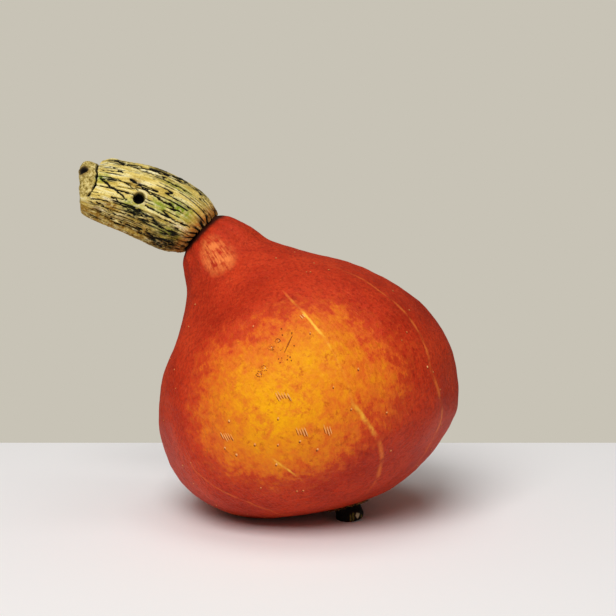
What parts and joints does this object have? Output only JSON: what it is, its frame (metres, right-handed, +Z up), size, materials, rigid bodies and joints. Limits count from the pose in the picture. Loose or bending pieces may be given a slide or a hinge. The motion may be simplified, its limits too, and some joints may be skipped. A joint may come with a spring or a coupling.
{
  "type": "red kuri squash",
  "caption": "Teardrop-shaped orange-red squash with a thick dry stem, lying tipped over on its belly and blossom scar.",
  "frame": {"origin": "on the ground, under the middle of the whole squash's box", "axes": "+Z up, -Y towards the front, -X towards the stem and +X towards the blossom end"},
  "size_m": [0.1895, 0.1504, 0.1784],
  "materials": {
    "rind": "satin",
    "stem_cork": "matte",
    "scar_cork": "matte"
  },
  "bodies": {
    "root": {"fruit": "rind", "stem": "stem_cork", "blossom_scar": "scar_cork"}
  },
  "joints": []
}
